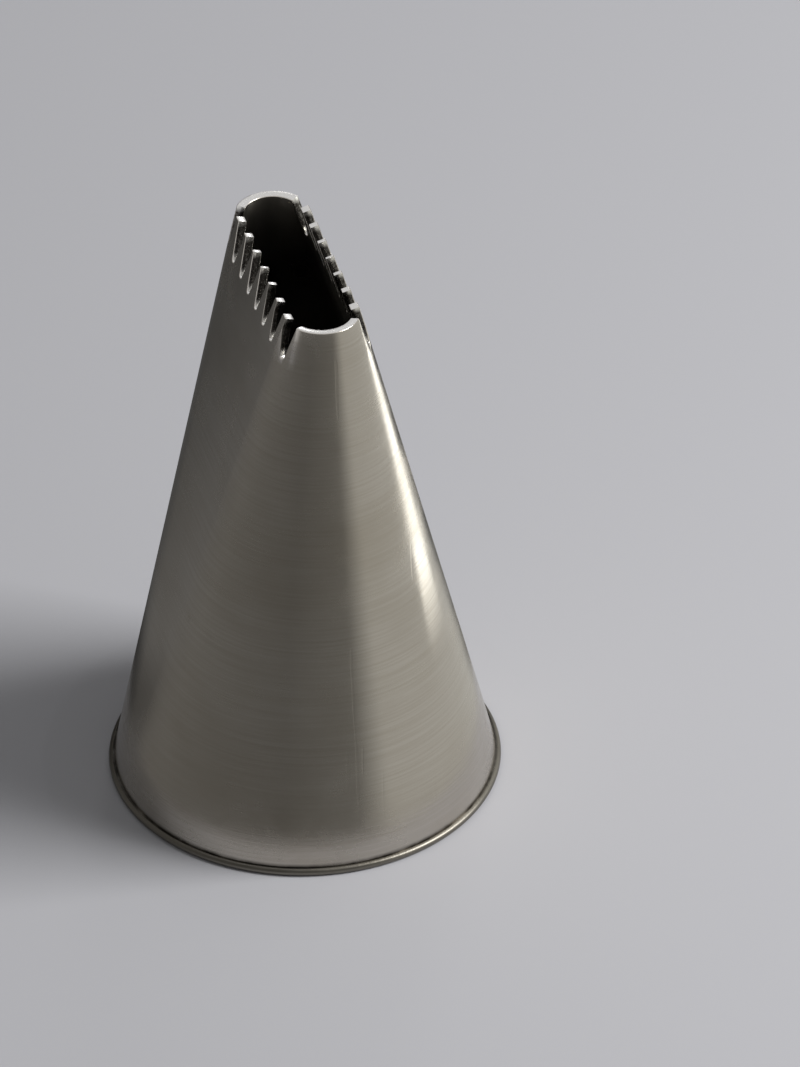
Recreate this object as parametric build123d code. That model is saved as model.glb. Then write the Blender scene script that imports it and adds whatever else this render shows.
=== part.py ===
from build123d import *
import os
from math import acos, atan, atan2, cos, degrees, sin, sqrt

# Basket-weave piping nozzle: a thin sheet-metal cone, round at the base and pressed
# to a long narrow mouth at the tip, with a row of V notches along each long edge.
# Millimetres. +Z runs up the nozzle, from the centre of the rim that it stands on.
# The mouth is long in X, and its two toothed edges face -Y and +Y.

# Sizes over the whole nozzle
base_diameter = 18.0
nozzle_height = 27.1
sheet_thickness = 0.4

# Rim at the wide end, turned out a little
rim_turn_radius = 0.18

# Mouth at the tip, measured outside the sheet
mouth_length = 11.6
mouth_width = 3.3

# Teeth along each long edge of the mouth
tooth_count = 7
tooth_pitch = 1.355
tooth_depth = 1.72
tooth_tip_width = 0.2
notch_root_radius = 0.15

# How far every cutting shape runs past the metal that it cuts
cut_overrun = 1.0

# Sizes that follow
cone_base_radius = base_diameter / 2 - rim_turn_radius
mouth_end_radius = mouth_width / 2
mouth_end_offset = mouth_length / 2 - mouth_end_radius
side_slope = atan((cone_base_radius - mouth_end_radius) / nozzle_height)
wall_inset = sheet_thickness / cos(side_slope)


def pressed_cone(base_radius, end_radius, end_offset, height):
    """Solid cone from a round base to a round-ended slot: two leaning half cones with flat sides between."""
    base_front = Vector(0, -base_radius, 0)
    base_back = Vector(0, base_radius, 0)
    base_arcs = []
    end_arcs = []
    for side in (-1, 1):
        end_front = Vector(side * end_offset, -end_radius, height)
        end_back = Vector(side * end_offset, end_radius, height)
        end_outside = Vector(side * (end_offset + end_radius), 0, height)
        base_arcs.append(Edge.make_three_point_arc(base_front, Vector(side * base_radius, 0, 0), base_back))
        end_arcs.append(Edge.make_three_point_arc(end_front, end_outside, end_back))
    front_line = Edge.make_line(end_arcs[0] @ 0, end_arcs[1] @ 0)
    back_line = Edge.make_line(end_arcs[0] @ 1, end_arcs[1] @ 1)
    faces = [Face.make_surface_from_curves(base, end) for base, end in zip(base_arcs, end_arcs)]
    faces.append(Face(Wire.make_polygon([base_front, front_line @ 0, front_line @ 1], close=True)))
    faces.append(Face(Wire.make_polygon([base_back, back_line @ 0, back_line @ 1], close=True)))
    faces.append(Face(Wire(base_arcs)))
    faces.append(Face(Wire([end_arcs[0], front_line, end_arcs[1], back_line])))
    return Part() + Solid(Shell(faces))


def slot_prism(end_radius, end_offset, bottom, top):
    """Upright prism with the outline of a round-ended slot."""
    slot = SlotCenterToCenter(2 * end_offset, 2 * end_radius)
    return Pos(0, 0, bottom) * extrude(slot, top - bottom)


def sheet_shell():
    """The cone's wall, open at the rim and at the mouth."""
    outer = pressed_cone(cone_base_radius, mouth_end_radius, mouth_end_offset, nozzle_height)
    inner_base = cone_base_radius - wall_inset
    inner_end = mouth_end_radius - wall_inset
    hollow = pressed_cone(inner_base, inner_end, mouth_end_offset, nozzle_height)
    hollow += slot_prism(inner_end, mouth_end_offset, nozzle_height, nozzle_height + cut_overrun)
    hollow += Pos(0, 0, -cut_overrun / 2) * Cylinder(inner_base, cut_overrun)
    return outer - hollow


def turned_rim():
    """Lip with a half-round outer edge, around the wide end."""
    root_width = sheet_thickness / 2
    root = Pos(cone_base_radius - root_width / 2, rim_turn_radius) * Rectangle(root_width, 2 * rim_turn_radius)
    section = root + Pos(cone_base_radius, rim_turn_radius) * Circle(rim_turn_radius)
    return revolve(Plane.XZ * section, Axis.Z)


def notch_outline():
    """V with a round root, its mouth at Y zero and its root below."""
    half_opening = (tooth_pitch - tooth_tip_width) / 2
    root_centre = tooth_depth - notch_root_radius
    reach = sqrt(half_opening ** 2 + root_centre ** 2)
    half_angle = acos(notch_root_radius / reach) - atan2(root_centre, half_opening)
    apex_depth = root_centre + notch_root_radius / sin(half_angle)
    half_top = (apex_depth + cut_overrun) * sin(half_angle) / cos(half_angle)
    outline = Polygon(
        (-half_top, cut_overrun), (0, -apex_depth), (half_top, cut_overrun), align=None
    )
    return fillet(outline.vertices().sort_by(Axis.Y)[0], notch_root_radius)


def notch_places():
    """Each notch's place on the mouth outline and its outward direction, for both long edges."""
    places = []
    for index in range(tooth_count + 1):
        along = (index - tooth_count / 2) * tooth_pitch
        past_corner = max(0, abs(along) - mouth_end_offset)
        turn = past_corner / mouth_end_radius
        centre_x = max(-mouth_end_offset, min(mouth_end_offset, along))
        lean = turn if along > 0 else -turn
        for edge in (-1, 1):
            direction = (sin(lean), edge * cos(lean))
            places.append((centre_x, direction))
    return places


def notches():
    """All the V cutters, each leaning along the wall that it cuts."""
    outline = notch_outline()
    cutters = []
    for centre_x, (out_x, out_y) in notch_places():
        fan = -atan(centre_x / nozzle_height)
        face = Plane(
            origin=(centre_x, 0, nozzle_height),
            x_dir=(-out_y, out_x, 0),
            z_dir=(out_x, out_y, 0),
        )
        lean_sign = -1 if out_y > 0 else 1
        section = face * Rot(Z=lean_sign * degrees(fan)) * outline
        cutters.append(extrude(section, mouth_end_radius + cut_overrun, dir=face.z_dir))
    return cutters


def nozzle_shell():
    """The whole nozzle: wall, turned rim and teeth."""
    body = sheet_shell() + turned_rim()
    for cutter in notches():
        body -= cutter
    return body


os.makedirs("parts", exist_ok=True)
shell = nozzle_shell()
print("solids", len(shell.solids()), "volume", round(shell.volume, 3), "size", shell.bounding_box().size)
export_step(shell, "parts/nozzle_shell.step")
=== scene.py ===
import math

import bmesh
import bpy
from mathutils import Matrix, Vector


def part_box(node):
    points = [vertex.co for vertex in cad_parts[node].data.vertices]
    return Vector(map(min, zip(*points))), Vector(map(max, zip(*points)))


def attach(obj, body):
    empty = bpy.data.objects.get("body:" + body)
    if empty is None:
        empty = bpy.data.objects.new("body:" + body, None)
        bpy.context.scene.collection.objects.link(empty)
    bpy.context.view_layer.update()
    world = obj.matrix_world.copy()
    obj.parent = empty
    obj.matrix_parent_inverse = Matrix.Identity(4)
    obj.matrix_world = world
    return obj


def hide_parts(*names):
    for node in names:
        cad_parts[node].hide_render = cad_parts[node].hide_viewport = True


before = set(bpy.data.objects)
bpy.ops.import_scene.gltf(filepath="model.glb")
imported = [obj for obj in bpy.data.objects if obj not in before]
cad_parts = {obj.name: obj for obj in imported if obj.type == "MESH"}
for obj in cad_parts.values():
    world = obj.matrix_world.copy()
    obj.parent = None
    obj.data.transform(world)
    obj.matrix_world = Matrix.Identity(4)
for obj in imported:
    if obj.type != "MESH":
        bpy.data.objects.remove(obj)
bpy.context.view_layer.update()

bl_info = {
    "name": "Basket-Weave Piping Nozzle",
    "version": (1, 0, 0),
    "blender": (4, 5, 0),
    "location": "3D View > Sidebar > Nozzle",
    "description": "Models a small sheet-metal piping nozzle with a toothed mouth, and its stage",
    "category": "Add Mesh",
}

MM = 0.001
CAD_NODE = "nozzle_shell"

# Corners closer than this differ only by rounding errors, and merging them moves nothing that shows.
WELD = 0.012 * MM
CUT_TOLERANCE = 0.00001 * MM
# Corners are merged in their order along this slanting direction, so that each run gives the same mesh.
MERGE_ORDER = Vector((0.61, 0.37, 0.70))
# Faces or edges that turn less than this are one flat face or one straight edge.
FLAT_TURN = math.radians(0.1)
# Shading is smooth across edges that turn less than this.
SMOOTH_TURN = math.radians(40)
# Slopes of the two narrow steps that round a cut edge.
ROUNDING_SLOPES = (math.radians(60), math.radians(30))
# Places of the three finishes in the sheet's list of materials.
WALL_FACE, INNER_FACE, CUT_FACE = 0, 1, 2

# Straight steps up the wall, round a notch's root, round the lip and round the ring of cards.
WALL_STEPS = 16
ROOT_STEPS = 6
LIP_STEPS = 10
CARD_STEPS = 180

# Marks on the plating outside. A film patch, a smudge and a wave are as long as they are wide.
FILM_PATCH = 6.5 * MM
SMUDGE = 2.6 * MM
WAVE_LENGTH, WAVE_HEIGHT = 5.5 * MM, 0.02 * MM
# Real buffing lines are about 0.01 mm apart, which is too fine to show, so these are coarser.
BUFF_LENGTH, BUFF_SPACING, BUFF_DEPTH = 6 * MM, 0.12 * MM, 0.003 * MM
# Water spots: the cell that holds one at most, the spot's radius, and the radius inside its soft edge.
SPOT_CELL, SPOT_RADIUS, SPOT_CORE = 2.6 * MM, 0.208 * MM, 0.091 * MM
# Scratches: the size of the noise whose highest crests they are, and its tilts in radians.
SCRATCH_NOISE = (9 * MM, 0.35 * MM, 5 * MM)
SCRATCH_DEPTH = 0.002 * MM
SCRATCH_TILTS = ((0.7, 0.28, 0.7), (-1.1, -0.44, -1.1))
# Painted shade round the base is full up to one height, ends at the other, and is broken into short pieces.
BASE_SHADE_FULL, BASE_SHADE_END, BASE_SHADE_PIECE = 0.38 * MM, 0.60 * MM, 0.9 * MM
# The most that each mark takes the plating's colour to its own.
FILM_TONE, BUFF_TONE, SPOT_TONE = 0.55, 0.4, 0.35
# Roughness that a smudge and a water spot add at most, and that buffing lines add per share of their tone.
SMUDGE_DULLING, SPOT_DULLING, BUFF_DULLING = 0.14, 0.08, 0.1

# Marks inside. There are about 250 draw lines round the cone, so they are about 0.2 mm apart at the wide end.
DRAW_LINES_PER_RADIAN = 40.0
DRAW_DEPTH = 0.01 * MM
STAIN = 3 * MM
# Stains change the roughness by this much, down and up.
STAIN_DOWN, STAIN_UP = 0.06, 0.12

# Marks on the cut edges. Real tumbling grain is finer than the render can show, so this is coarser.
GRAIN, GRAIN_DEPTH = 0.1 * MM, 0.0003 * MM
# The grain changes the roughness by this much, down and up.
GRAIN_DOWN, GRAIN_UP = 0.06, 0.1
# How far below a tip and above a root the painted shade on a notch's flanks starts and is full.
BELOW_TIP_START, BELOW_TIP_FULL = 0.08 * MM, 0.30 * MM
ABOVE_ROOT_START, ABOVE_ROOT_FULL = 0.16 * MM, 0.36 * MM

# Sockets of a Mix node set to colours, by place, because their names repeat.
MIX_SHARE, MIX_UNDER, MIX_OVER, MIX_RESULT = 0, 6, 7, 2

# Azimuths and elevations below are in degrees. Azimuth 0 is -Y and azimuth 90 is +X.
# A ring of cards that glow with painted light, seen only in reflections as a painted reflection of the room:
# grey in front, pale at the right and dark behind.
CARD_RADIUS = 12 * MM
CARD_HEIGHT = 30 * MM
CARD_TONES = (
    (0, "#787775"), (65, "#676664"), (97, "#777673"),
    (110, "#C0BFBA"), (187, "#D0D0CC"),
    (207, "#585858"), (304, "#505050"),
    (330, "#727170"), (360, "#787775"),
)
# The pale room shows through one gap behind, and over the front card, which is lower than the rest and
# reaches this far to each side of azimuth 0.
GAP_START, GAP_END = 232, 268
FRONT_REACH = 34
FRONT_HEIGHT = 23 * MM
# One painted highlight, a bright strip on the pale card, leans by this much azimuth per height, about its
# middle. It starts at its foot, is full a little higher, and adds this many times the card's own light.
STRIP_AZIMUTH, STRIP_REACH = 176, 12
STRIP_LEAN = 2 / MM
STRIP_MIDDLE = 13 * MM
STRIP_FOOT, STRIP_RISE = 5.5 * MM, 5 * MM
STRIP_STRENGTH = 3.0
# A low dark band on the cards behind and at the left, a painted shadow: the azimuths where it starts, is
# full, fades and ends, its height, how much of that height is a soft edge, and the share of light that it
# takes.
LOW_START, LOW_FULL, LOW_FADE, LOW_END = 190, 230, 325, 352
LOW_TOP, LOW_SOFT, LOW_SHARE = 5 * MM, 4 * MM, 0.65

# Two square soft boxes: a large one at the right, and a small weak one behind. Power is in watts.
LAMP_DISTANCE = 320 * MM
KEY_AZIMUTH, KEY_ELEVATION, KEY_SIZE, KEY_POWER = 160, 44, 150 * MM, 1.1
GLINT_AZIMUTH, GLINT_ELEVATION, GLINT_SIZE, GLINT_POWER = 246, 22, 60 * MM, 0.05

FLOOR_SIZE = 6000 * MM


def linear(hex_colour):
    """Turns an sRGB hex colour to the linear RGBA that the shaders work in."""
    def light(share):
        return share / 12.92 if share <= 0.04045 else ((share + 0.055) / 1.055) ** 2.4

    shares = [int(hex_colour[start:start + 2], 16) / 255 for start in (1, 3, 5)]
    return (*map(light, shares), 1.0)


def colour(name, description, hex_colour):
    """A colour that the user can change, given as sRGB hex."""
    return bpy.props.FloatVectorProperty(
        name=name, description=description, default=linear(hex_colour),
        size=4, min=0.0, max=1.0, subtype="COLOR")


def length(name, description, default, least=0.0):
    """A length that the user can change."""
    return bpy.props.FloatProperty(
        name=name, description=description, default=default, min=least, subtype="DISTANCE", unit="LENGTH")


def gloss(name, description, default):
    """A roughness that the user can change."""
    return bpy.props.FloatProperty(
        name=name, description=description, default=default, min=0.0, max=1.0, subtype="FACTOR")


def turn(name, description, degrees):
    """An angle that the user can change, given in degrees."""
    return bpy.props.FloatProperty(
        name=name, description=description, default=math.radians(degrees), subtype="ANGLE", unit="ROTATION")


class NozzleShape(bpy.types.PropertyGroup):
    """Sizes of the nozzle's sheet, mouth, teeth and rim."""

    sheet_thickness: length("Sheet thickness", "Thickness of the sheet metal", 0.4 * MM, 0.1 * MM)
    lip_radius: length("Lip radius", "How far the turned rim stands out of the wall", 0.18 * MM, 0.05 * MM)
    mouth_length: length("Mouth length", "Length of the mouth over the sheet", 11.6 * MM, 1 * MM)
    mouth_width: length("Mouth width", "Width of the mouth over the sheet", 3.3 * MM, 1 * MM)
    tooth_count: bpy.props.IntProperty(
        name="Teeth per edge", description="Pointed teeth along each long edge", default=7, min=1)
    tooth_pitch: length("Tooth pitch", "Distance from tooth to tooth", 1.355 * MM, 0.2 * MM)
    tooth_depth: length("Tooth depth", "Depth of each notch below the mouth's edge", 1.72 * MM, 0.2 * MM)
    tooth_tip_width: length("Tooth tip width", "Flat left at each tooth's tip", 0.2 * MM, 0.02 * MM)
    notch_root_radius: length("Notch root radius", "Radius at the bottom of each notch", 0.15 * MM, 0.02 * MM)
    edge_rounding: length("Edge rounding", "Width rounded off the cut edges by tumbling", 0.03 * MM)
    strips_per_half: bpy.props.IntProperty(
        name="Strips per half cone", description="Straight strips round each half cone", default=128, min=16)


class NozzleFinish(bpy.types.PropertyGroup):
    """Colours and gloss of the plated sheet."""

    plate_colour: colour("Plating", "Bright nickel plating, outside", "#C6C1B9")
    film_colour: colour("Handling film", "Warm film left by fingers and steam", "#ABA396")
    # Painted shade: a dark line round the base, for the contact shadow that the lip mirrors.
    base_shade_colour: colour("Painted base shade", "Painted dark line above the rim's lip, for the shade under it", "#4C4842")
    inside_colour: colour("Inside", "Plating inside, which no polishing wheel reaches", "#7E7A72")
    cut_colour: colour("Cut edge", "Tumbled edge of the sheet", "#E2E0DB")
    # Painted shade: the notches' flanks are darkened, as what they mirror there is dark.
    flank_shade_colour: colour("Notch flanks", "Painted shade on the flanks of the notches", "#3A3733")
    plate_roughness: gloss("Plate roughness", "Roughness of the polished outside where it is cleanest", 0.16)
    inside_roughness: gloss("Inside roughness", "Roughness of the inside", 0.32)
    cut_roughness: gloss("Cut edge roughness", "Roughness of the tumbled edges", 0.22)


class NozzleStage(bpy.types.PropertyGroup):
    """Floor, light and camera."""

    floor_colour: colour("Floor", "Floor that the nozzle stands on", "#B6B6BA")
    sky_colour: colour("Surroundings", "Pale room round the stage", "#DCDCDF")
    room_light: bpy.props.FloatProperty(
        name="Room light", description="Strength of the soft light from all round", default=0.24, min=0.0)
    camera_azimuth: turn("Camera azimuth", "Turn of the camera round the nozzle, from -Y towards +X", 74.36)
    camera_elevation: turn("Camera elevation", "Height of the camera above the horizon", 35.93)
    camera_roll: turn("Camera roll", "Turn of the picture about the line of sight", 0.29)
    camera_distance: length("Camera distance", "Distance from the camera to the nozzle's middle", 288 * MM)
    camera_aim: bpy.props.FloatVectorProperty(
        name="Camera aim", description="How far right and up of the axis it looks, and at what height",
        default=(4.409 * MM, 0.121 * MM, 12.312 * MM), size=3, subtype="XYZ", unit="LENGTH")
    camera_lens: bpy.props.FloatProperty(
        name="Camera lens", description="Focal length in millimetres", default=217.02, min=1.0)


def deselect():
    """Leaves nothing selected, so that an operator acts on the new piece alone."""
    if bpy.context.object and bpy.context.object.mode != "OBJECT":
        bpy.ops.object.mode_set(mode="OBJECT")
    bpy.ops.object.select_all(action="DESELECT")


def pick(piece, kind, test):
    """In edit mode, selects the VERT, EDGE or FACE parts that pass the test, and nothing else."""
    bpy.ops.mesh.select_mode(type=kind)
    bpy.ops.mesh.select_all(action="DESELECT")
    mesh = bmesh.from_edit_mesh(piece.data)
    parts = {"VERT": mesh.verts, "EDGE": mesh.edges, "FACE": mesh.faces}[kind]
    found = 0
    for part in parts:
        chosen = bool(test(part))
        part.select_set(chosen)
        found += chosen
    mesh.select_flush_mode()
    bmesh.update_edit_mesh(piece.data)
    return found


def middle(part):
    """Middle of an edge or a face."""
    if isinstance(part, bmesh.types.BMFace):
        return part.calc_center_median()
    return (part.verts[0].co + part.verts[1].co) / 2


class ConeForm:
    """The pressed cone's outside: two leaning half cones with flat sides between, from base to mouth."""

    def __init__(self, shape):
        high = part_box(CAD_NODE)[1]
        self.height = high.z
        self.base_radius = min(high.x, high.y) - shape.lip_radius
        self.end_radius = shape.mouth_width / 2
        self.end_offset = shape.mouth_length / 2 - self.end_radius
        self.rounding = shape.edge_rounding
        self.lip_top = 2 * shape.lip_radius
        # A quarter of the pitch under the notches, so that none of them reaches down to it.
        self.notch_foot = self.height - shape.tooth_depth - shape.tooth_pitch / 4

    def radius(self, z):
        """Radius of the half circles at a height."""
        return self.base_radius + (self.end_radius - self.base_radius) * z / self.height

    def offset(self, z):
        """How far each half circle's centre is from the nozzle's axis at a height."""
        return self.end_offset * z / self.height

    def levels(self):
        """Heights of the wall's rings: the base, even steps from lip to notches, and the mouth."""
        step = (self.notch_foot - self.lip_top) / WALL_STEPS
        even = [self.lip_top + step * index for index in range(WALL_STEPS + 1)]
        return [0, *even, self.height - self.rounding]

    def along(self, point):
        """Distance from the middle of the long edge, along the mouth's outline, of the line up the wall."""
        offset = self.offset(point.z)
        if abs(point.x) <= offset:
            return point.x / offset * self.end_offset
        corner_turn = math.atan2(abs(point.x) - offset, abs(point.y))
        return math.copysign(self.end_offset + corner_turn * self.end_radius, point.x)

    def mouth_point(self, along):
        """Centre x and sideways lean of the outward direction at a place along the outline."""
        past_corner = max(0, abs(along) - self.end_offset)
        lean = math.copysign(past_corner / self.end_radius, along)
        return max(-self.end_offset, min(self.end_offset, along)), lean


def raise_ring(form, low, high):
    """Extrudes the selected ring from one height to another and fits it to the cone there."""
    shift = form.offset(high) - form.offset(low)
    bpy.ops.mesh.extrude_region_move(TRANSFORM_OT_translate={"value": (shift, 0, high - low)})
    scale = form.radius(high) / form.radius(low)
    bpy.ops.transform.resize(value=(scale, scale, 1), center_override=(form.offset(high), 0, high))


def half_cone(form, strips):
    """The +X half of the wall, as straight strips that run up it."""
    deselect()
    bpy.ops.mesh.primitive_circle_add(vertices=2 * strips, radius=form.base_radius, fill_type="NOTHING")
    piece = bpy.context.object
    bpy.ops.object.mode_set(mode="EDIT")
    pick(piece, "VERT", lambda vertex: vertex.co.x < -WELD)
    bpy.ops.mesh.delete(type="VERT")
    bpy.ops.mesh.select_all(action="SELECT")
    levels = form.levels()
    for low, high in zip(levels[:-1], levels[1:]):
        raise_ring(form, low, high)
    bpy.ops.object.mode_set(mode="OBJECT")
    return piece


def merge_doubles(piece):
    """Merges corners that differ only by rounding errors, in an order that is the same each run."""
    mesh = bmesh.from_edit_mesh(piece.data)
    mesh.verts.sort(key=lambda vertex: vertex.co.dot(MERGE_ORDER))
    bmesh.update_edit_mesh(piece.data)
    bpy.ops.mesh.select_all(action="SELECT")
    bpy.ops.mesh.remove_doubles(threshold=WELD)


def mirror_half(piece):
    """Adds the -X half, without joining it to the first one."""
    modifier = piece.modifiers.new("other_half", "MIRROR")
    modifier.use_axis = (True, False, False)
    modifier.use_mirror_merge = False
    bpy.ops.object.modifier_apply(modifier=modifier.name)


def bridge_sides(piece, columns):
    """Joins the half cones with the two flat sides, in one column for each notch there."""
    bpy.ops.object.mode_set(mode="EDIT")
    for side in (-1, 1):
        def up_the_wall(edge):
            rises = abs(edge.verts[0].co.z - edge.verts[1].co.z) > WELD
            return edge.is_boundary and rises and middle(edge).y * side > 0

        pick(piece, "EDGE", up_the_wall)
        bpy.ops.mesh.bridge_edge_loops(type="SINGLE", number_cuts=columns - 1, interpolation="LINEAR")
    merge_doubles(piece)
    bpy.ops.mesh.normals_make_consistent(inside=False)
    bpy.ops.object.mode_set(mode="OBJECT")


def cut(piece, chosen, point, normal):
    """Cuts the chosen faces along a plane, and leaves both sides in place."""
    if pick(piece, "FACE", chosen):
        bpy.ops.mesh.bisect(
            plane_co=point, plane_no=normal, threshold=CUT_TOLERANCE,
            clear_outer=False, clear_inner=False, use_fill=False)


def remove(piece, chosen):
    """Deletes the chosen faces."""
    if pick(piece, "FACE", chosen):
        bpy.ops.mesh.delete(type="FACE")


def notch_walls(form, shape, along, side):
    """The planes round one notch, as points and normals that face into the metal."""
    centre_x, corner_lean = form.mouth_point(along)
    outward = Vector((math.sin(corner_lean), side * math.cos(corner_lean), 0))
    across = Vector((-outward.y, outward.x, 0)) * -side
    wall_lean = math.atan(centre_x / form.height)
    upward = Vector((0, 0, 1)) * math.cos(wall_lean) + across * math.sin(wall_lean)
    root_radius = shape.notch_root_radius
    root_depth = shape.tooth_depth - root_radius
    root_centre = Vector((centre_x, 0, form.height)) - upward * root_depth
    half_opening = (shape.tooth_pitch - shape.tooth_tip_width) / 2
    reach = math.hypot(half_opening, root_depth)
    half_angle = math.acos(root_radius / reach) - math.atan2(root_depth, half_opening)
    steepest = math.pi / 2 - half_angle
    walls = []
    for step in range(ROOT_STEPS + 1):
        slope = steepest * (2 * step / ROOT_STEPS - 1)
        normal = across * math.sin(slope) - upward * math.cos(slope)
        walls.append((root_centre + normal * (root_radius + form.rounding), normal))
    return walls


def cut_notch(piece, form, shape, along, side):
    """Cuts the sheet along each wall of one V notch, and removes what lies inside them all."""
    walls = notch_walls(form, shape, along, side)

    def in_cell(face):
        centre = middle(face)
        near = abs(form.along(centre) - along) < shape.tooth_pitch / 2
        return near and centre.y * side > 0 and centre.z > form.notch_foot

    def in_notch(face):
        centre = middle(face)
        return in_cell(face) and all((centre - point).dot(normal) < 0 for point, normal in walls)

    for point, normal in walls:
        cut(piece, in_cell, point, normal)
    remove(piece, in_notch)


def cut_notches(piece, form, shape):
    """Cuts the V notches out of both long edges."""
    bpy.ops.object.mode_set(mode="EDIT")
    for side in (-1, 1):
        for index in range(shape.tooth_count + 1):
            along = (index - shape.tooth_count / 2) * shape.tooth_pitch
            cut_notch(piece, form, shape, along, side)
    bpy.ops.object.mode_set(mode="OBJECT")


def clean_teeth(piece, form):
    """Dissolves the construction lines that the cuts left in the flat parts near the mouth."""
    bpy.ops.object.mode_set(mode="EDIT")

    def in_flat_part(edge):
        flat = len(edge.link_faces) == 2 and edge.calc_face_angle() < FLAT_TURN
        return flat and min(vertex.co.z for vertex in edge.verts) > form.notch_foot + WELD

    def on_straight_edge(vertex):
        if len(vertex.link_edges) != 2:
            return False
        first, second = (edge.other_vert(vertex).co - vertex.co for edge in vertex.link_edges)
        return first.angle(second) > math.pi - FLAT_TURN

    pick(piece, "EDGE", in_flat_part)
    bpy.ops.mesh.dissolve_edges(use_verts=False, use_face_split=False)
    pick(piece, "VERT", on_straight_edge)
    bpy.ops.mesh.dissolve_verts()
    merge_doubles(piece)
    bpy.ops.object.mode_set(mode="OBJECT")


def give_thickness(piece, shape):
    """Gives the sheet its thickness, inwards."""
    modifier = piece.modifiers.new("sheet", "SOLIDIFY")
    modifier.thickness = shape.sheet_thickness
    modifier.offset = -1
    modifier.use_even_offset = True
    modifier.use_quality_normals = True
    modifier.material_offset = INNER_FACE
    modifier.material_offset_rim = CUT_FACE
    bpy.ops.object.modifier_apply(modifier=modifier.name)


def level_base(piece, form):
    """Cuts the wide end level with the surface that it stands on, and closes the flat ring there."""
    def under_base(face):
        height = middle(face).z
        return height < -CUT_TOLERANCE or height < WELD and face.material_index == CUT_FACE

    bpy.ops.object.mode_set(mode="EDIT")
    cut(piece, lambda face: middle(face).z < form.lip_top, (0, 0, 0), (0, 0, 1))
    remove(piece, under_base)
    pick(piece, "EDGE", lambda edge: edge.is_boundary)
    bpy.ops.mesh.bridge_edge_loops(type="SINGLE")
    bpy.ops.object.mode_set(mode="OBJECT")


def turn_lip(piece, form, shape):
    """Replaces the lowest band of the outside with a half-round lip."""
    def on_band(face):
        centre = middle(face)
        outside = centre.xy.length > form.radius(centre.z) - shape.sheet_thickness / 2
        return outside and WELD < centre.z < form.lip_top

    bpy.ops.object.mode_set(mode="EDIT")
    remove(piece, on_band)
    pick(piece, "EDGE", lambda edge: edge.is_boundary and middle(edge).z < WELD)
    radius, height = form.base_radius, 0
    for step in range(1, LIP_STEPS + 1):
        angle = math.pi * step / LIP_STEPS
        next_radius = form.base_radius + shape.lip_radius * math.sin(angle)
        next_height = shape.lip_radius * (1 - math.cos(angle))
        bpy.ops.mesh.extrude_region_move(TRANSFORM_OT_translate={"value": (0, 0, next_height - height)})
        scale = next_radius / radius
        bpy.ops.transform.resize(value=(scale, scale, 1), center_override=(0, 0, 0))
        radius, height = next_radius, next_height
    pick(piece, "EDGE", lambda edge: edge.is_boundary)
    bpy.ops.mesh.bridge_edge_loops(type="SINGLE")
    bpy.ops.mesh.select_all(action="SELECT")
    bpy.ops.mesh.normals_make_consistent(inside=False)
    bpy.ops.object.mode_set(mode="OBJECT")


def round_cut_edges(piece, shape):
    """Raises the cut faces of the sheet in two narrowing steps, which rounds their edges as tumbling does."""
    bpy.ops.object.mode_set(mode="EDIT")
    step = shape.edge_rounding / sum(math.sin(slope) for slope in ROUNDING_SLOPES)
    for slope in ROUNDING_SLOPES:
        pick(piece, "FACE", lambda face: face.material_index == CUT_FACE)
        bpy.ops.mesh.inset(
            thickness=step * math.cos(slope), depth=step * math.sin(slope),
            use_boundary=True, use_even_offset=True)
        mesh = bmesh.from_edit_mesh(piece.data)
        for face in mesh.faces:
            if face.material_index == CUT_FACE and not face.select:
                face.material_index = WALL_FACE
        bmesh.update_edit_mesh(piece.data)
    bpy.ops.object.mode_set(mode="OBJECT")


def smooth_shading(piece):
    """Smooths the shading, with the large faces keeping their own direction."""
    bpy.ops.object.shade_smooth_by_angle(angle=SMOOTH_TURN)
    modifier = piece.modifiers.new("large_faces_lead", "WEIGHTED_NORMAL")
    modifier.keep_sharp = True
    modifier.weight = 100
    bpy.ops.object.modifier_apply(modifier=modifier.name)


def is_closed(piece):
    """Whether every edge of the piece lies between two faces."""
    mesh = bmesh.new()
    mesh.from_mesh(piece.data)
    closed = all(edge.is_manifold for edge in mesh.edges)
    mesh.free()
    return closed


def add_node(tree, kind, inputs=None, **settings):
    """Adds a node with its settings; an input given as a socket is linked, any other value is set."""
    node = tree.nodes.new(kind)
    for name, value in settings.items():
        setattr(node, name, value)
    for key, value in (inputs or {}).items():
        if isinstance(value, bpy.types.NodeSocket):
            tree.links.new(value, node.inputs[key])
        else:
            node.inputs[key].default_value = value
    return node


def metal(name, colour_value, roughness):
    """A metal material with its shader set up, and the tree and Object coordinates to build on."""
    material = bpy.data.materials.new(name)
    material.use_nodes = True
    tree = material.node_tree
    shader = tree.nodes["Principled BSDF"]
    shader.inputs["Base Color"].default_value = colour_value
    shader.inputs["Metallic"].default_value = 1.0
    shader.inputs["Roughness"].default_value = roughness
    place = add_node(tree, "ShaderNodeTexCoord").outputs["Object"]
    return material, tree, shader, place


def buffing_lines(tree, place):
    """Lines round the cone from the polishing wheel."""
    size = (BUFF_LENGTH, BUFF_LENGTH, BUFF_SPACING)
    lines_place = add_node(tree, "ShaderNodeMapping", {"Vector": place, "Scale": [1 / side for side in size]})
    lines = add_node(tree, "ShaderNodeTexNoise", {
        "Vector": lines_place.outputs[0], "Scale": 1.0, "Detail": 3.0, "Roughness": 0.65})
    return lines.outputs["Fac"]


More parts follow.
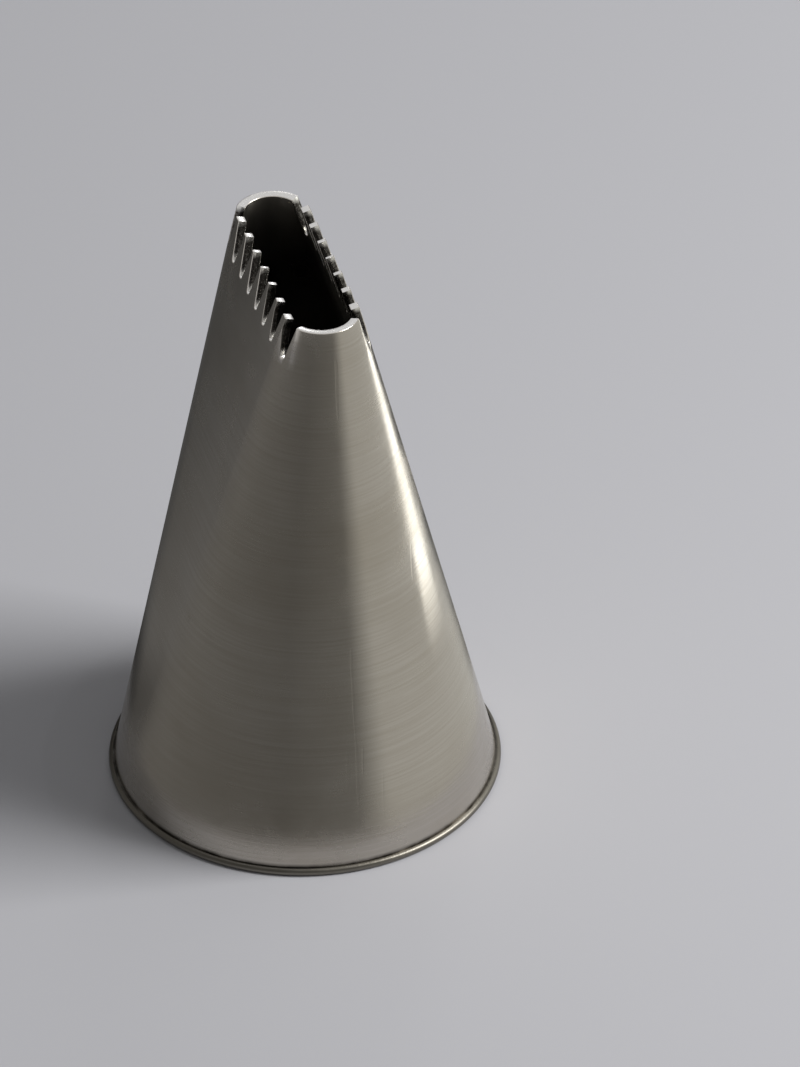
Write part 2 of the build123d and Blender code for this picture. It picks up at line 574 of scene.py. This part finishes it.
def water_spots(tree, place):
    """Dried water spots, thinly spread: small dull discs with a soft edge."""
    cells = add_node(tree, "ShaderNodeTexVoronoi", {"Vector": place, "Scale": 1 / SPOT_CELL})
    disc = add_node(tree, "ShaderNodeMapRange", {
        "Value": cells.outputs["Distance"], "From Min": SPOT_RADIUS / SPOT_CELL,
        "From Max": SPOT_CORE / SPOT_CELL}, interpolation_type="SMOOTHSTEP")
    # Each cell's own random tone decides how strong its spot is, and about half of the cells have none.
    chance = add_node(tree, "ShaderNodeMapRange", {
        "Value": cells.outputs["Color"], "From Min": 0.5, "From Max": 0.8})
    spots = add_node(tree, "ShaderNodeMath", {
        0: disc.outputs["Result"], 1: chance.outputs["Result"]}, operation="MULTIPLY")
    return spots.outputs[0]


def painted_base_shade(tree, place):
    """Painted shade round the base: a dark, uneven line on the lip and in the corner above it, for the
    contact shadow.
    """
    height = add_node(tree, "ShaderNodeSeparateXYZ", {0: place}).outputs["Z"]
    cover = add_node(tree, "ShaderNodeMapRange", {
        "Value": height, "From Min": BASE_SHADE_END, "From Max": BASE_SHADE_FULL}, interpolation_type="SMOOTHSTEP")
    broken = add_node(tree, "ShaderNodeTexNoise", {
        "Vector": place, "Scale": 1 / BASE_SHADE_PIECE, "Detail": 2.0})
    broken = add_node(tree, "ShaderNodeMapRange", {
        "Value": broken.outputs["Fac"], "From Min": 0.3, "From Max": 0.6, "To Min": 0.45, "To Max": 0.95})
    base_shade = add_node(tree, "ShaderNodeMath", {
        0: cover.outputs["Result"], 1: broken.outputs["Result"]}, operation="MULTIPLY")
    return base_shade.outputs[0]


def plate_tone(tree, place, finish, line_shade, spots):
    """The plating's colour, with the marks on it from the lowest layer to the highest, and painted shade
    round the base on top.
    """
    # Handling film lies in soft patches, where the tone drifts a little warmer and duller.
    film = add_node(tree, "ShaderNodeTexNoise", {"Vector": place, "Scale": 1 / FILM_PATCH, "Detail": 3.0})
    film = add_node(tree, "ShaderNodeMapRange", {
        "Value": film.outputs["Fac"], "From Min": 0.4, "From Max": 0.75, "To Max": FILM_TONE})
    spot_shade = add_node(tree, "ShaderNodeMath", {0: spots, 1: SPOT_TONE}, operation="MULTIPLY")
    layers = (
        (film.outputs["Result"], finish.film_colour),
        (line_shade, finish.film_colour),
        (spot_shade.outputs[0], finish.film_colour),
        # Painted shade: a dark, uneven line round the base.
        (painted_base_shade(tree, place), finish.base_shade_colour),
    )
    tone = finish.plate_colour
    for cover, layer_colour in layers:
        mix = add_node(tree, "ShaderNodeMix", {
            MIX_SHARE: cover, MIX_UNDER: tone, MIX_OVER: layer_colour}, data_type="RGBA")
        tone = mix.outputs[MIX_RESULT]
    return tone


def plate_gloss(tree, place, finish, line_shade, spots):
    """The plating's roughness. Wiped smudges show as a change of gloss more than of colour."""
    smudge = add_node(tree, "ShaderNodeTexNoise", {
        "Vector": place, "Scale": 1 / SMUDGE, "Detail": 4.0, "Roughness": 0.6, "Distortion": 0.6})
    smudge = add_node(tree, "ShaderNodeMapRange", {
        "Value": smudge.outputs["Fac"], "From Min": 0.35, "From Max": 0.75,
        "To Min": finish.plate_roughness, "To Max": finish.plate_roughness + SMUDGE_DULLING})
    roughness = smudge.outputs["Result"]
    for cover, share in ((line_shade, BUFF_DULLING), (spots, SPOT_DULLING)):
        roughness = add_node(tree, "ShaderNodeMath", {
            0: cover, 1: share, 2: roughness}, operation="MULTIPLY_ADD").outputs[0]
    return roughness


def plate_relief(tree, place, lines):
    """The plating's fine relief, which bends and streaks what it mirrors."""
    # Long low waves come from pressing the tip flat.
    waves = add_node(tree, "ShaderNodeTexNoise", {"Vector": place, "Scale": 1 / WAVE_LENGTH, "Detail": 1.0})
    relief = add_node(tree, "ShaderNodeBump", {
        "Height": waves.outputs["Fac"], "Strength": 1.0, "Distance": WAVE_HEIGHT})
    relief = add_node(tree, "ShaderNodeBump", {
        "Height": lines, "Strength": 1.0, "Distance": BUFF_DEPTH, "Normal": relief.outputs[0]})
    # A few fine scratches come from other tools in the drawer.
    for tilt in SCRATCH_TILTS:
        scratch_place = add_node(tree, "ShaderNodeMapping", {
            "Vector": place, "Rotation": tilt, "Scale": [1 / side for side in SCRATCH_NOISE]})
        scratch = add_node(tree, "ShaderNodeTexNoise", {
            "Vector": scratch_place.outputs[0], "Scale": 1.0, "Detail": 1.0})
        scratch = add_node(tree, "ShaderNodeMapRange", {
            "Value": scratch.outputs["Fac"], "From Min": 0.715, "From Max": 0.74})
        relief = add_node(tree, "ShaderNodeBump", {
            "Height": scratch.outputs["Result"], "Strength": 1.0, "Distance": SCRATCH_DEPTH,
            "Normal": relief.outputs[0]}, invert=True)
    return relief.outputs[0]


def polished_plate(finish):
    """Bright nickel plating on sheet steel, buffed on a mandrel: a soft mirror with fine streaks round it."""
    material, tree, shader, place = metal("buffed_nickel_plate", finish.plate_colour, finish.plate_roughness)
    lines = buffing_lines(tree, place)
    line_shade = add_node(tree, "ShaderNodeMapRange", {
        "Value": lines, "From Min": 0.35, "From Max": 0.7, "To Max": BUFF_TONE}).outputs["Result"]
    spots = water_spots(tree, place)
    tree.links.new(plate_tone(tree, place, finish, line_shade, spots), shader.inputs["Base Color"])
    tree.links.new(plate_gloss(tree, place, finish, line_shade, spots), shader.inputs["Roughness"])
    tree.links.new(plate_relief(tree, place, lines), shader.inputs["Normal"])
    return material


def inside_plate(finish):
    """The same plating inside the cone, which keeps the dull look and the draw lines of the forming."""
    material, tree, shader, place = metal("drawn_nickel_plate", finish.inside_colour, finish.inside_roughness)
    # Draw lines run up the cone, so their noise is read round it and not up it.
    flat = add_node(tree, "ShaderNodeMapping", {"Vector": place, "Scale": (1.0, 1.0, 0.0)})
    round_place = add_node(tree, "ShaderNodeVectorMath", {0: flat.outputs[0]}, operation="NORMALIZE")
    draw = add_node(tree, "ShaderNodeTexNoise", {
        "Vector": round_place.outputs["Vector"], "Scale": DRAW_LINES_PER_RADIAN,
        "Detail": 3.0, "Roughness": 0.6})
    relief = add_node(tree, "ShaderNodeBump", {
        "Height": draw.outputs["Fac"], "Strength": 1.0, "Distance": DRAW_DEPTH})
    # Stains from washing change the gloss a little.
    stain = add_node(tree, "ShaderNodeTexNoise", {"Vector": place, "Scale": 1 / STAIN, "Detail": 4.0})
    stain = add_node(tree, "ShaderNodeMapRange", {
        "Value": stain.outputs["Fac"], "From Min": 0.3, "From Max": 0.7,
        "To Min": finish.inside_roughness - STAIN_DOWN, "To Max": finish.inside_roughness + STAIN_UP})
    tree.links.new(stain.outputs["Result"], shader.inputs["Roughness"])
    tree.links.new(relief.outputs[0], shader.inputs["Normal"])
    return material


def painted_flank_shade(tree, place, shape, form, grain):
    """Painted shade on the flanks of the notches, broken up by the grain. Tips and roots are left clear of
    it.
    """
    height = add_node(tree, "ShaderNodeSeparateXYZ", {0: place}).outputs["Z"]
    tip = form.height
    root = form.height - shape.tooth_depth
    below_tip = add_node(tree, "ShaderNodeMapRange", {
        "Value": height, "From Min": tip - BELOW_TIP_START, "From Max": tip - BELOW_TIP_FULL})
    above_root = add_node(tree, "ShaderNodeMapRange", {
        "Value": height, "From Min": root + ABOVE_ROOT_START, "From Max": root + ABOVE_ROOT_FULL})
    grain_break = add_node(tree, "ShaderNodeMapRange", {
        "Value": grain, "From Min": 0.3, "From Max": 0.6, "To Min": 0.8, "To Max": 1.0})
    flank_shade = below_tip.outputs["Result"]
    for share in (above_root, grain_break):
        flank_shade = add_node(tree, "ShaderNodeMath", {
            0: flank_shade, 1: share.outputs["Result"]}, operation="MULTIPLY").outputs[0]
    return flank_shade


def cut_plate(finish, shape, form):
    """Punched edge of the plated steel sheet, tumbled bright: it glints on the teeth's tips and the roots."""
    material, tree, shader, place = metal("tumbled_steel_edge", finish.cut_colour, finish.cut_roughness)
    grain = add_node(tree, "ShaderNodeTexNoise", {
        "Vector": place, "Scale": 1 / GRAIN, "Detail": 2.0}).outputs["Fac"]
    # Painted shade darkens the flanks of the notches; the tips and roots keep the edge's own colour.
    tone = add_node(tree, "ShaderNodeMix", {
        MIX_SHARE: painted_flank_shade(tree, place, shape, form, grain),
        MIX_UNDER: finish.cut_colour, MIX_OVER: finish.flank_shade_colour}, data_type="RGBA")
    roughness = add_node(tree, "ShaderNodeMapRange", {
        "Value": grain, "From Min": 0.3, "From Max": 0.7,
        "To Min": finish.cut_roughness - GRAIN_DOWN, "To Max": finish.cut_roughness + GRAIN_UP})
    relief = add_node(tree, "ShaderNodeBump", {"Height": grain, "Strength": 1.0, "Distance": GRAIN_DEPTH})
    tree.links.new(tone.outputs[MIX_RESULT], shader.inputs["Base Color"])
    tree.links.new(roughness.outputs["Result"], shader.inputs["Roughness"])
    tree.links.new(relief.outputs[0], shader.inputs["Normal"])
    return material


class NOZZLE_OT_add_shell(bpy.types.Operator):
    """Models the nozzle from one sheet: bent to a cone, pressed at the tip, notched and given a lip"""

    bl_idname = "nozzle.add_shell"
    bl_label = "Add nozzle shell"

    def execute(self, context):
        shape = context.scene.nozzle_shape
        finish = context.scene.nozzle_finish
        form = ConeForm(shape)
        piece = half_cone(form, shape.strips_per_half)
        piece.name = "nozzle_sheet"
        for material in (polished_plate(finish), inside_plate(finish), cut_plate(finish, shape, form)):
            piece.data.materials.append(material)
        mirror_half(piece)
        bridge_sides(piece, shape.tooth_count - 1)
        cut_notches(piece, form, shape)
        clean_teeth(piece, form)
        give_thickness(piece, shape)
        level_base(piece, form)
        turn_lip(piece, form, shape)
        round_cut_edges(piece, shape)
        smooth_shading(piece)
        if not is_closed(piece):
            raise RuntimeError("the nozzle's sheet has an open edge")
        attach(piece, "root")
        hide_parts(CAD_NODE)
        return {"FINISHED"}


def floor_finish(stage):
    """Matt paper, pressed smooth: an even, pale floor with hardly a sheen."""
    material = bpy.data.materials.new("matt_paper")
    material.use_nodes = True
    shader = material.node_tree.nodes["Principled BSDF"]
    shader.inputs["Base Color"].default_value = stage.floor_colour
    shader.inputs["Roughness"].default_value = 0.85
    shader.inputs["Specular IOR Level"].default_value = 0.25
    return material


def card_ring():
    """Cards that stand in a ring round the nozzle, with a gap behind and a lower front."""
    def is_open(face):
        centre = middle(face)
        azimuth = math.degrees(math.atan2(centre.x, -centre.y))
        over_front = centre.z > FRONT_HEIGHT and abs(azimuth) < FRONT_REACH
        return over_front or GAP_START < azimuth % 360 < GAP_END

    deselect()
    bpy.ops.mesh.primitive_circle_add(vertices=CARD_STEPS, radius=CARD_RADIUS, fill_type="NOTHING")
    ring = bpy.context.object
    ring.name = "glowing_reflection_cards"
    bpy.ops.object.mode_set(mode="EDIT")
    pick(ring, "EDGE", lambda edge: True)
    for rise in (FRONT_HEIGHT, CARD_HEIGHT - FRONT_HEIGHT):
        bpy.ops.mesh.extrude_region_move(TRANSFORM_OT_translate={"value": (0, 0, rise)})
    remove(ring, is_open)
    bpy.ops.object.mode_set(mode="OBJECT")
    return ring


def show_in_reflections_only(card):
    """Keeps a card out of the camera's sight, and out of the light that falls on floor and nozzle."""
    card.visible_camera = False
    card.visible_diffuse = False
    card.visible_shadow = False
    card.visible_transmission = False


def card_angle(azimuth):
    """The cards' own angle in radians, which is azimuth less half a turn."""
    return math.radians(azimuth - 180)


def painted_highlight_strip(tree, angle, height):
    """The cards' glow: strength one all round, and more on the painted highlight strip."""
    lean = add_node(tree, "ShaderNodeMath", {
        0: height, 1: -math.radians(STRIP_LEAN), 2: math.radians(STRIP_LEAN * STRIP_MIDDLE)},
        operation="MULTIPLY_ADD")
    upright = add_node(tree, "ShaderNodeMath", {0: angle, 1: lean.outputs[0]}, operation="ADD")
    on_strip = add_node(tree, "ShaderNodeMath", {
        0: upright.outputs[0], 1: card_angle(STRIP_AZIMUTH), 2: math.radians(STRIP_REACH)},
        operation="COMPARE")
    rise = add_node(tree, "ShaderNodeMapRange", {
        "Value": height, "From Min": STRIP_FOOT, "From Max": STRIP_FOOT + STRIP_RISE,
        "To Max": STRIP_STRENGTH}, interpolation_type="SMOOTHSTEP")
    strength = add_node(tree, "ShaderNodeMath", {
        0: on_strip.outputs[0], 1: rise.outputs["Result"], 2: 1.0}, operation="MULTIPLY_ADD")
    return strength.outputs[0]


def light_past_painted_shadow(tree, angle, height):
    """The share of the cards' glow that the low painted shadow leaves."""
    taken = add_node(tree, "ShaderNodeMapRange", {
        "Value": height, "From Min": LOW_TOP, "From Max": LOW_TOP - LOW_SOFT,
        "To Max": LOW_SHARE}, interpolation_type="SMOOTHSTEP").outputs["Result"]
    for edge, full in ((LOW_START, LOW_FULL), (LOW_END, LOW_FADE)):
        side = add_node(tree, "ShaderNodeMapRange", {
            "Value": angle, "From Min": card_angle(edge), "From Max": card_angle(full)},
            interpolation_type="SMOOTHSTEP")
        taken = add_node(tree, "ShaderNodeMath", {
            0: taken, 1: side.outputs["Result"]}, operation="MULTIPLY").outputs[0]
    return add_node(tree, "ShaderNodeMath", {0: 1.0, 1: taken}, operation="SUBTRACT").outputs[0]


def glowing_card_finish():
    """Cards that glow evenly with painted light: tones by azimuth, a painted highlight strip and a low
    painted shadow.
    """
    material = bpy.data.materials.new("glowing_reflection_cards")
    material.use_nodes = True
    material.cycles.emission_sampling = "NONE"
    tree = material.node_tree
    tree.nodes.clear()
    place = add_node(tree, "ShaderNodeTexCoord").outputs["Object"]
    split = add_node(tree, "ShaderNodeSeparateXYZ", {0: place})
    height = split.outputs["Z"]
    # The angle of (-X, Y) is azimuth less half a turn. It breaks at azimuth 0, where both end tones match.
    left = add_node(tree, "ShaderNodeMath", {0: split.outputs["X"], 1: -1.0}, operation="MULTIPLY")
    angle = add_node(tree, "ShaderNodeMath", {
        0: left.outputs[0], 1: split.outputs["Y"]}, operation="ARCTAN2").outputs[0]
    turns = add_node(tree, "ShaderNodeMapRange", {
        "Value": angle, "From Min": card_angle(0), "From Max": card_angle(360)})
    tones = add_node(tree, "ShaderNodeValToRGB", {0: turns.outputs["Result"]})
    stops = tones.color_ramp.elements
    for azimuth, tone in CARD_TONES[1:-1]:
        stops.new(azimuth / 360).color = linear(tone)
    stops[0].color = linear(CARD_TONES[0][1])
    stops[-1].color = linear(CARD_TONES[-1][1])
    strength = add_node(tree, "ShaderNodeMath", {
        0: painted_highlight_strip(tree, angle, height), 1: light_past_painted_shadow(tree, angle, height)},
        operation="MULTIPLY")
    glow = add_node(tree, "ShaderNodeEmission", {
        "Color": tones.outputs["Color"], "Strength": strength.outputs[0]})
    add_node(tree, "ShaderNodeOutputMaterial", {"Surface": glow.outputs[0]})
    return material


def room(stage):
    """Soft light from all round, and a pale background for the camera and in reflections."""
    world = bpy.data.worlds.new("studio_room")
    world.use_nodes = True
    tree = world.node_tree
    tree.nodes.clear()
    path = add_node(tree, "ShaderNodeLightPath")
    seen = path.outputs["Is Camera Ray"]
    for ray in ("Is Glossy Ray", "Is Transmission Ray"):
        either = add_node(tree, "ShaderNodeMath", {0: seen, 1: path.outputs[ray]}, operation="MAXIMUM")
        seen = either.outputs[0]
    light = add_node(tree, "ShaderNodeBackground", {
        "Color": linear("#FFFFFF"), "Strength": stage.room_light})
    pale = add_node(tree, "ShaderNodeBackground", {"Color": stage.sky_colour, "Strength": 1.0})
    mix = add_node(tree, "ShaderNodeMixShader", {0: seen, 1: light.outputs[0], 2: pale.outputs[0]})
    add_node(tree, "ShaderNodeOutputWorld", {"Surface": mix.outputs[0]})
    return world


def way_out(azimuth, elevation):
    """The direction out from the nozzle at an azimuth and elevation, in radians."""
    flat = math.cos(elevation)
    return Vector((math.sin(azimuth) * flat, -math.cos(azimuth) * flat, math.sin(elevation)))


def add_camera(stage):
    """The camera, turned and placed as the photograph's was."""
    azimuth, roll = stage.camera_azimuth, stage.camera_roll
    back = way_out(azimuth, stage.camera_elevation)
    right = Vector((math.cos(azimuth), math.sin(azimuth), 0))
    up = back.cross(right)
    aim_right, aim_up, aim_height = stage.camera_aim
    place = Vector((0, 0, aim_height)) + back * stage.camera_distance + right * aim_right + up * aim_up
    turned_right = right * math.cos(roll) - up * math.sin(roll)
    turned_up = right * math.sin(roll) + up * math.cos(roll)
    bpy.ops.object.camera_add()
    camera = bpy.context.object
    camera.name = "photo_camera"
    camera.data.lens = stage.camera_lens
    camera.data.clip_start = 1 * MM
    axes = Matrix((turned_right, turned_up, back)).transposed()
    camera.matrix_world = Matrix.Translation(place) @ axes.to_4x4()
    bpy.context.scene.camera = camera


def add_lamp(name, azimuth, elevation, size, power):
    """A square soft box that faces the nozzle."""
    away = way_out(math.radians(azimuth), math.radians(elevation))
    facing = away.to_track_quat("Z", "Y").to_euler()
    bpy.ops.object.light_add(type="AREA", location=away * LAMP_DISTANCE, rotation=facing)
    lamp = bpy.context.object
    lamp.name = name
    lamp.data.size = size
    lamp.data.energy = power


class NOZZLE_OT_add_stage(bpy.types.Operator):
    """Adds the floor, the light and the camera"""

    bl_idname = "nozzle.add_stage"
    bl_label = "Add stage"

    def execute(self, context):
        stage = context.scene.nozzle_stage
        deselect()
        bpy.ops.mesh.primitive_plane_add(size=FLOOR_SIZE)
        floor = context.object
        floor.name = "floor"
        floor.data.materials.append(floor_finish(stage))
        cards = card_ring()
        cards.data.materials.append(glowing_card_finish())
        show_in_reflections_only(cards)
        add_camera(stage)
        add_lamp("key_box", KEY_AZIMUTH, KEY_ELEVATION, KEY_SIZE, KEY_POWER)
        add_lamp("glint_box", GLINT_AZIMUTH, GLINT_ELEVATION, GLINT_SIZE, GLINT_POWER)
        context.scene.world = room(stage)
        context.scene.view_settings.view_transform = "Standard"
        return {"FINISHED"}


class NOZZLE_PT_panel(bpy.types.Panel):
    """Sidebar panel with the sizes and the buttons that build the nozzle"""

    bl_idname = "NOZZLE_PT_panel"
    bl_label = "Piping Nozzle"
    bl_space_type = "VIEW_3D"
    bl_region_type = "UI"
    bl_category = "Nozzle"

    def draw(self, context):
        scene = context.scene
        for settings in (scene.nozzle_shape, scene.nozzle_finish, scene.nozzle_stage):
            for name in settings.__annotations__:
                self.layout.prop(settings, name)
        self.layout.operator("nozzle.add_shell")
        self.layout.operator("nozzle.add_stage")


CLASSES = (NozzleShape, NozzleFinish, NozzleStage, NOZZLE_OT_add_shell, NOZZLE_OT_add_stage, NOZZLE_PT_panel)


def register():
    for cls in CLASSES:
        bpy.utils.register_class(cls)
    bpy.types.Scene.nozzle_shape = bpy.props.PointerProperty(type=NozzleShape)
    bpy.types.Scene.nozzle_finish = bpy.props.PointerProperty(type=NozzleFinish)
    bpy.types.Scene.nozzle_stage = bpy.props.PointerProperty(type=NozzleStage)


def unregister():
    del bpy.types.Scene.nozzle_stage
    del bpy.types.Scene.nozzle_finish
    del bpy.types.Scene.nozzle_shape
    for cls in reversed(CLASSES):
        bpy.utils.unregister_class(cls)


def main():
    register()
    bpy.ops.nozzle.add_shell()
    bpy.ops.nozzle.add_stage()


if __name__ == "__main__":
    main()
